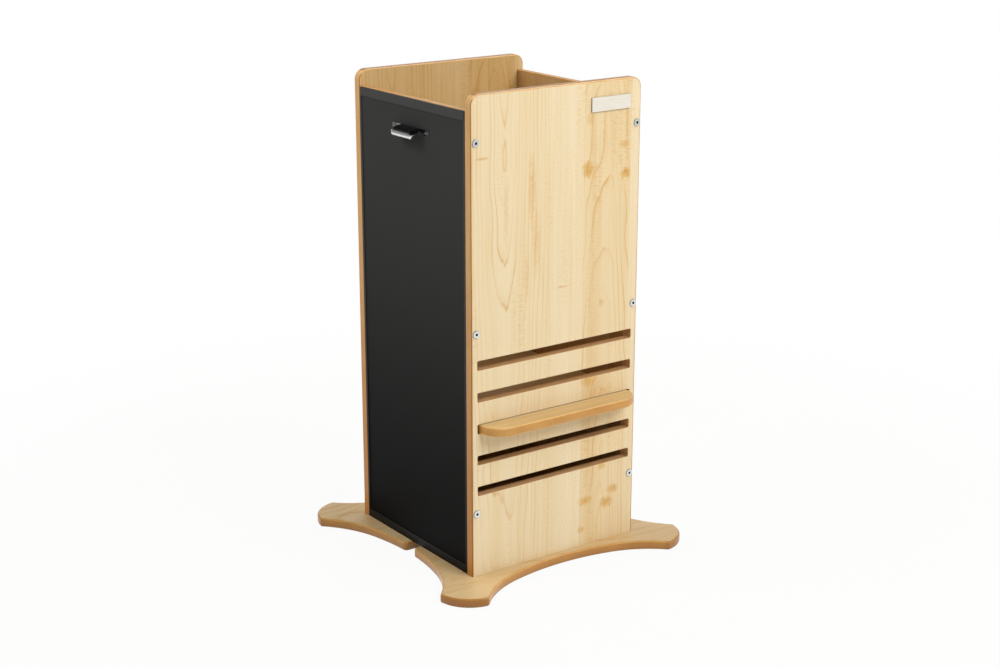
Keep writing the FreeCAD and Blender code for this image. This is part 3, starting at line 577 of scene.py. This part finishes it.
def boltPaintedShade(tree, coords):  # painted shade in the hex sockets, and a painted shadow round the foot of each head
    xyz = partsOf(tree, coords["Object"])
    rim = boltLook["headRadius"]
    middle = (boltLow + boltHigh) / 2
    half = (boltHigh - boltLow) / 2
    aside = calc(tree, "ABSOLUTE", calc(tree, "SUBTRACT", xyz["Y"], middle.y))
    aside = calc(tree, "SUBTRACT", aside, half.y - rim)
    rise = calc(tree, "ABSOLUTE", calc(tree, "SUBTRACT", xyz["Z"], middle.z))
    outer = calc(tree, "ABSOLUTE", calc(tree, "SUBTRACT", rise, half.z - rim))
    away = lengthOf(tree, aside, calc(tree, "MINIMUM", rise, outer))
    skin = boltHigh.x - boltLook["headSkin"]
    sunk = calc(tree, "LESS_THAN", calc(tree, "ABSOLUTE", xyz["X"]), skin)
    # painted shade inside the socket recess; painted shadow round the head's foot
    socket = times(tree, calc(tree, "LESS_THAN", away, boltLook["socketRadius"]), sunk)
    foot = spanOf(tree, away, rim - boltLook["footWidth"], rim, 0.0, boltLook["footShade"])
    return calc(tree, "MAXIMUM", socket, foot)


pullLook = {
    "material": "pull_chrome",
    "metallic": 1.0,
    "tint": (0.80, 0.80, 0.80),
    "rough": (0.15, 0.22),
    "brush": (60.0, 900.0, 900.0),
    "relief": 0.03,
    "ears": (0.041, 0.045, 0.0, 0.55),
    "crown": (0.50, 0.90, 0.0, 0.90),
}


def pullPaintedReflection(tree, coords):  # painted dark reflection: the flat ears and the crown are darker than the polished face
    aside = calc(tree, "ABSOLUTE", partsOf(tree, coords["Object"])["X"])
    ears = spanOf(tree, aside, *pullLook["ears"])
    crown = spanOf(tree, partsOf(tree, coords["Normal"])["Z"], *pullLook["crown"])
    return calc(tree, "MAXIMUM", ears, crown)


plateLook = {
    "material": "plate_metal",
    "metallic": 0.12,
    "tint": (0.94, 0.90, 0.79),
    "rough": (0.36, 0.48),
    "brush": (900.0, 40.0, 1400.0),
    "relief": 0.10,
    "edge": (0.85, 0.25, 0.0, 0.65),
}


def platePaintedShade(tree, coords):  # painted shade: the plate's cut edge is darker than its face
    facing = calc(tree, "ABSOLUTE", partsOf(tree, coords["Normal"])["X"])
    return spanOf(tree, facing, *plateLook["edge"])


fastenerLook = {
    "material": "fastener_steel",
    "metallic": 1.0,
    "tint": (0.34, 0.34, 0.35),
    "rough": (0.24, 0.36),
    "brush": (900.0, 900.0, 900.0),
    "relief": 0.10,
}
dress(makeMetal(pullLook, pullPaintedReflection), "cup_pull")
dress(makeMetal(boltLook, boltPaintedShade), "connector_bolts_right", "connector_bolts_left")
dress(makeMetal(fastenerLook), "barrel_nuts", "base_screws", "pull_screws", "name_plate_pins")
dress(makeMetal(plateLook, platePaintedShade), "name_plate")
print("metals dressed")


# floor: plain white, with a faint shadow near the object; a mirrored floor dims away from one spot
floorLook = {
    "size": 60.0,
    "paint": (0.76, 0.73, 0.67, 1.0),
    "white": (1.0, 1.0, 1.0, 1.0),
    "shadowShare": 0.07,
    "fade": (0.8, 1.8),
    "mirrorMiddle": (1.2, -2.0),
    "mirrorFade": (2.9, 5.5),
    "mirrorFar": 0.25,
}


def backgroundRays(tree):  # rays that see the plain white, and mirrored ones
    path = put(tree, "ShaderNodeLightPath").outputs
    seen = calc(tree, "ADD", path["Is Camera Ray"], path["Is Transmission Ray"], clamp=True)
    return seen, path["Is Glossy Ray"]


floorMesh = bpy.data.meshes.new("studio_floor")
floorForm = bmesh.new()
bmesh.ops.create_grid(floorForm, x_segments=1, y_segments=1, size=floorLook["size"] / 2)
floorForm.to_mesh(floorMesh)
floorForm.free()
floor = bpy.data.objects.new("studio_floor", floorMesh)
bpy.context.scene.collection.objects.link(floor)
floorPaint = bpy.data.materials.new("studio_floor")
floorPaint.use_nodes = True
floorTree = floorPaint.node_tree
floorTree.nodes.clear()
floorXyz = partsOf(floorTree, put(floorTree, "ShaderNodeTexCoord").outputs["Object"])


def floorAway(middle):  # distance over the floor from a point of it
    sides = [calc(floorTree, "SUBTRACT", floorXyz[axis], at) for axis, at in zip("XY", middle)]
    return lengthOf(floorTree, *sides)


floorSeen, floorMirrored = backgroundRays(floorTree)
plainRays = calc(floorTree, "ADD", floorSeen, floorMirrored, clamp=True)
plainShare = spanOf(floorTree, floorAway((0.0, 0.0)), *floorLook["fade"], 1.0 - floorLook["shadowShare"], 1.0)
plainShare = times(floorTree, plainShare, plainRays)
farDim = spanOf(floorTree, floorAway(floorLook["mirrorMiddle"]), *floorLook["mirrorFade"],
                0.0, 1.0 - floorLook["mirrorFar"])
floorGlow = calc(floorTree, "SUBTRACT", 1.0, times(floorTree, farDim, floorMirrored))
floorWhite = {"Color": floorLook["white"], "Strength": floorGlow}
floorMix = put(floorTree, "ShaderNodeMixShader", {
    0: plainShare,
    1: put(floorTree, "ShaderNodeBsdfDiffuse", {"Color": floorLook["paint"]}).outputs[0],
    2: put(floorTree, "ShaderNodeEmission", floorWhite).outputs[0],
})
put(floorTree, "ShaderNodeOutputMaterial", {"Surface": floorMix.outputs[0]})
floorMesh.materials.append(floorPaint)


# sky: white to the eye, an even light on the object, and a dark room with a backdrop in mirrors
skyLook = {
    "white": (1.0, 1.0, 1.0, 1.0),
    "seen": 1.0,
    "ambient": 0.33,
    "mirrored": [                # height of the ray, brightness: a dark ceiling over a white backdrop
        (0.00, 0.90), (0.20, 0.90), (0.34, 0.60), (0.46, 0.09), (0.62, 0.01),
    ],
    "room": (-0.50, 0.05, 0.42, 1.0),    # depth of the ray: the room before the backdrop is dark
}


def levelMix(tree, factor, first, second):
    return put(tree, "ShaderNodeMix", {0: factor, 2: first, 3: second}, data_type="FLOAT").outputs[0]


world = bpy.data.worlds.new("studio")
bpy.context.scene.world = world
world.use_nodes = True
skyTree = world.node_tree
skyTree.nodes.clear()
skyWay = partsOf(skyTree, put(skyTree, "ShaderNodeTexCoord").outputs["Generated"])
ceilingShade = levelsOf(skyTree, skyWay["Z"], skyLook["mirrored"])
ceilingShade = times(skyTree, ceilingShade, spanOf(skyTree, skyWay["Y"], *skyLook["room"]))
skySeen, skyMirrored = backgroundRays(skyTree)
skyStrength = levelMix(skyTree, skySeen, skyLook["ambient"], skyLook["seen"])
skyStrength = levelMix(skyTree, skyMirrored, skyStrength, ceilingShade)
sky = put(skyTree, "ShaderNodeBackground", {"Color": skyLook["white"], "Strength": skyStrength})
put(skyTree, "ShaderNodeOutputWorld", {"Surface": sky.outputs[0]})

lampLook = {
    "aim": (0.0, 0.0, 0.45),
    "lamps": [                   # name, place, width, height, watts, mirrored
        ("key", (2.65, 0.75, 2.9), 1.8, 1.8, 79.0, False),
        ("front", (-0.8, -2.2, 2.8), 1.3, 1.3, 32.0, False),
        ("left", (-2.2, -0.7, 2.0), 1.2, 1.2, 12.0, False),
        ("top", (0.1, -0.1, 3.4), 1.6, 1.6, 7.0, False),
        ("rim", (0.9, 2.2, 3.0), 1.4, 0.8, 13.0, True),
        ("back", (-2.4, 2.6, 1.1), 1.6, 1.6, 34.0, False),
    ],
}
aim = Vector(lampLook["aim"])
for name, place, width, height, watts, mirrored in lampLook["lamps"]:
    light = bpy.data.lights.new("studio_" + name, "AREA")
    light.shape = "RECTANGLE"
    light.size, light.size_y, light.energy = width, height, watts
    lamp = bpy.data.objects.new("studio_" + name, light)
    lamp.location = place
    lamp.visible_glossy = mirrored
    lamp.rotation_euler = (aim - Vector(place)).to_track_quat("-Z", "Y").to_euler()
    bpy.context.scene.collection.objects.link(lamp)

cameraLook = {
    "place": (2.6666, -1.9007, 1.3983),
    "tilt": 73.222,
    "turn": 54.386,
    "lens": 63.45,
    "sensor": 36.0,
}
cameraData = bpy.data.cameras.new("photo_view")
cameraData.sensor_width = cameraLook["sensor"]
cameraData.lens = cameraLook["lens"]
camera = bpy.data.objects.new("photo_view", cameraData)
camera.location = cameraLook["place"]
camera.rotation_euler = (math.radians(cameraLook["tilt"]), 0.0, math.radians(cameraLook["turn"]))
bpy.context.scene.collection.objects.link(camera)
bpy.context.scene.camera = camera
bpy.context.scene.view_settings.view_transform = "Standard"
print("studio set")
